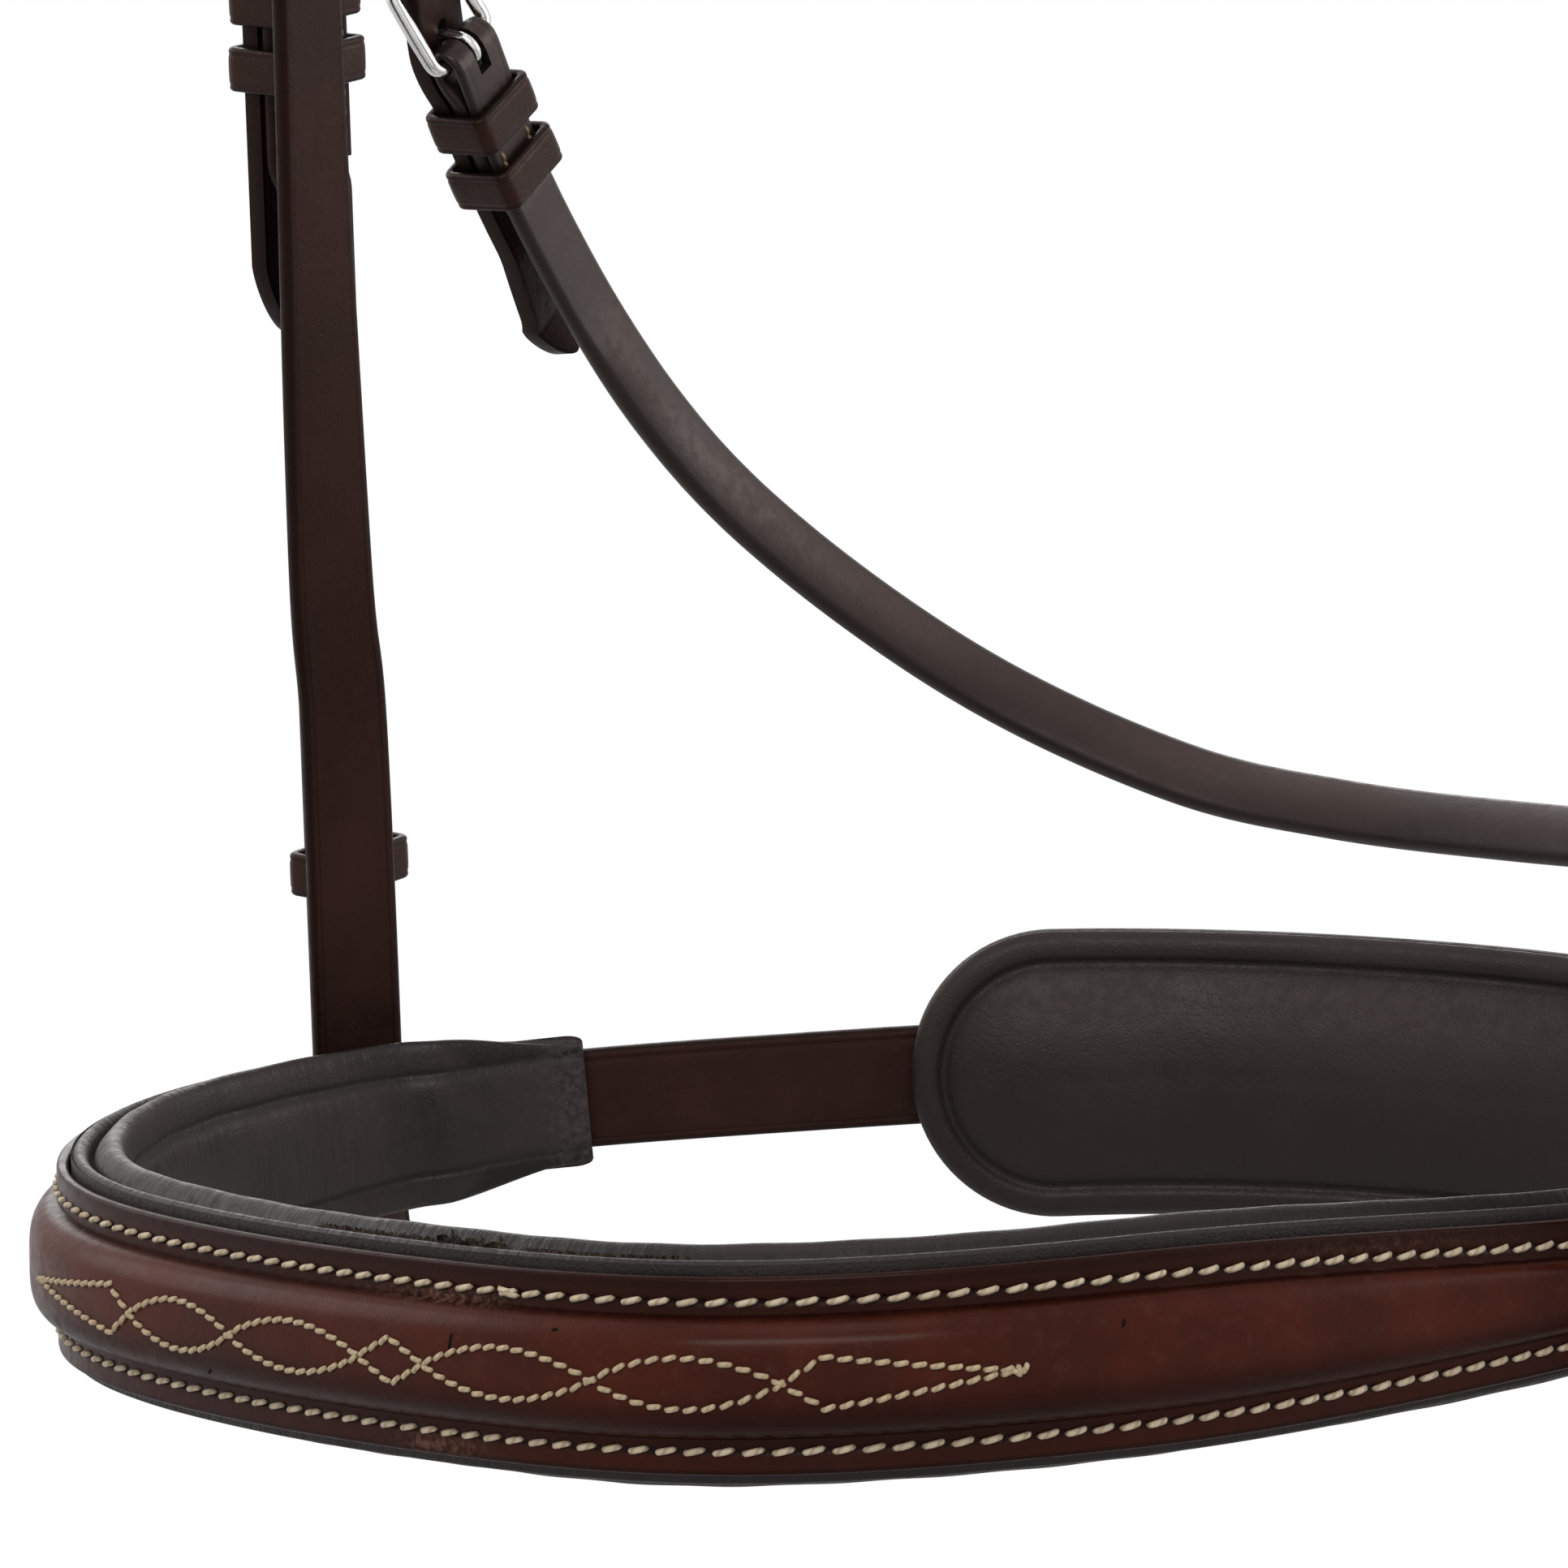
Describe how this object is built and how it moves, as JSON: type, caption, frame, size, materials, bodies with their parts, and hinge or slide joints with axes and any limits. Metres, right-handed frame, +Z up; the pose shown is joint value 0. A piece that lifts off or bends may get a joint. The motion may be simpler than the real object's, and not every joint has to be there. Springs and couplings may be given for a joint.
{
  "type": "english bridle",
  "caption": "Leather horse bridle with padded crown and browband, cheekpieces, throatlatch and a raised, fancy-stitched padded noseband with jaw pad; no bit or reins.",
  "frame": {"origin": "middle of the underside of the crown pad, where the bridle hangs on the poll", "axes": "+Z up, -Y towards the horse's nose, +X towards the horse's near (left) side"},
  "size_m": [0.2832, 0.3068, 0.4102],
  "materials": {
    "strap_leather": "smooth waxed dark brown bridle leather",
    "raised_leather": "polished reddish brown bridle leather with a satin sheen",
    "padding_leather": "soft matte dark brown lining leather over padding",
    "steel": "polished stainless steel"
  },
  "bodies": {
    "bridle": {"headpiece": "strap_leather", "crown_pad": "padding_leather", "browband_face": "raised_leather", "browband_lining": "padding_leather", "cheek_strap_left": "strap_leather", "cheek_strap_right": "strap_leather", "cheek_left_buckle_frame": "steel", "cheek_right_buckle_frame": "steel", "cheek_left_fixed_keeper": "strap_leather", "cheek_right_fixed_keeper": "strap_leather", "cheek_left_low_keeper": "strap_leather", "cheek_right_low_keeper": "strap_leather", "cheek_left_loop_keeper": "strap_leather", "cheek_right_loop_keeper": "strap_leather", "hook_stud_left": "steel", "hook_stud_right": "steel", "noseband_hanger": "strap_leather", "hanger_near_chape": "strap_leather", "hanger_buckle_frame": "steel", "hanger_fixed_keeper": "strap_leather", "nosepiece_leather": "raised_leather", "nosepiece_lining": "padding_leather", "noseband_rear_strap": "strap_leather", "noseband_near_chape": "strap_leather", "noseband_buckle_frame": "steel", "noseband_fixed_keeper": "strap_leather", "jaw_pad_backing": "strap_leather", "jaw_pad_cushion": "padding_leather", "jaw_pad_loop_far": "strap_leather", "jaw_pad_loop_near": "strap_leather", "throat_strap": "strap_leather", "throat_left_buckle_frame": "steel", "throat_right_buckle_frame": "steel", "throat_left_fixed_keeper": "strap_leather", "throat_right_fixed_keeper": "strap_leather"},
    "cheek_left_tongue": {"cheek_left_buckle_tongue": "steel"},
    "cheek_right_tongue": {"cheek_right_buckle_tongue": "steel"},
    "hanger_tongue": {"hanger_buckle_tongue": "steel"},
    "noseband_tongue": {"noseband_buckle_tongue": "steel"},
    "throat_left_tongue": {"throat_left_buckle_tongue": "steel"},
    "throat_right_tongue": {"throat_right_buckle_tongue": "steel"},
    "cheek_left_loop": {"cheek_left_runner": "strap_leather"},
    "cheek_right_loop": {"cheek_right_runner": "strap_leather"},
    "hanger_loop": {"hanger_runner": "strap_leather"},
    "noseband_loop": {"noseband_runner": "strap_leather"},
    "throat_left_loop": {"throat_left_runner": "strap_leather"},
    "throat_right_loop": {"throat_right_runner": "strap_leather"}
  },
  "joints": [
    {"name": "cheek_left_tongue_hinge", "type": "hinge", "parent": "bridle", "child": "cheek_left_tongue", "pos_m": [0.1264, -0.00705, -0.16483], "axis": [-0.0054, 0.9942, 0.1078], "range_deg": [0, 25]},
    {"name": "cheek_right_tongue_hinge", "type": "hinge", "parent": "bridle", "child": "cheek_right_tongue", "pos_m": [-0.1264, -0.00705, -0.16483], "axis": [-0.0054, -0.9942, -0.1078], "range_deg": [0, 25]},
    {"name": "hanger_tongue_hinge", "type": "hinge", "parent": "bridle", "child": "hanger_tongue", "pos_m": [0.11811, 0.01694, -0.194], "axis": [0, 0.9999, -0.0152], "range_deg": [0, 25]},
    {"name": "noseband_tongue_hinge", "type": "hinge", "parent": "bridle", "child": "noseband_tongue", "pos_m": [0.10798, 0.07223, -0.35187], "axis": [-0.037, 0.0579, -0.9976], "range_deg": [0, 25]},
    {"name": "throat_left_tongue_hinge", "type": "hinge", "parent": "bridle", "child": "throat_left_tongue", "pos_m": [0.12584, 0.03384, -0.18673], "axis": [0, 0.8541, 0.5201], "range_deg": [0, 25]},
    {"name": "throat_right_tongue_hinge", "type": "hinge", "parent": "bridle", "child": "throat_right_tongue", "pos_m": [-0.12584, 0.03384, -0.18673], "axis": [0, -0.8541, -0.5201], "range_deg": [0, 25]},
    {"name": "cheek_left_runner_slide", "type": "slide", "parent": "bridle", "child": "cheek_left_loop", "axis": [0.0496, 0.108, -0.9929], "range_m": [-0.0032, 0.018]},
    {"name": "cheek_right_runner_slide", "type": "slide", "parent": "bridle", "child": "cheek_right_loop", "axis": [-0.0496, 0.108, -0.9929], "range_m": [-0.0032, 0.018]},
    {"name": "hanger_runner_slide", "type": "slide", "parent": "bridle", "child": "hanger_loop", "axis": [0.0001, -0.0376, -0.9993], "range_m": [-0.0032, 0.018]},
    {"name": "noseband_runner_slide", "type": "slide", "parent": "bridle", "child": "noseband_loop", "axis": [0.1316, -0.9896, -0.0583], "range_m": [-0.0025, 0.0035]},
    {"name": "throat_left_runner_slide", "type": "slide", "parent": "bridle", "child": "throat_left_loop", "axis": [-0.0117, 0.5483, -0.8362], "range_m": [-0.0029, 0.01]},
    {"name": "throat_right_runner_slide", "type": "slide", "parent": "bridle", "child": "throat_right_loop", "axis": [0.0117, 0.5483, -0.8362], "range_m": [-0.0029, 0.01]}
  ]
}
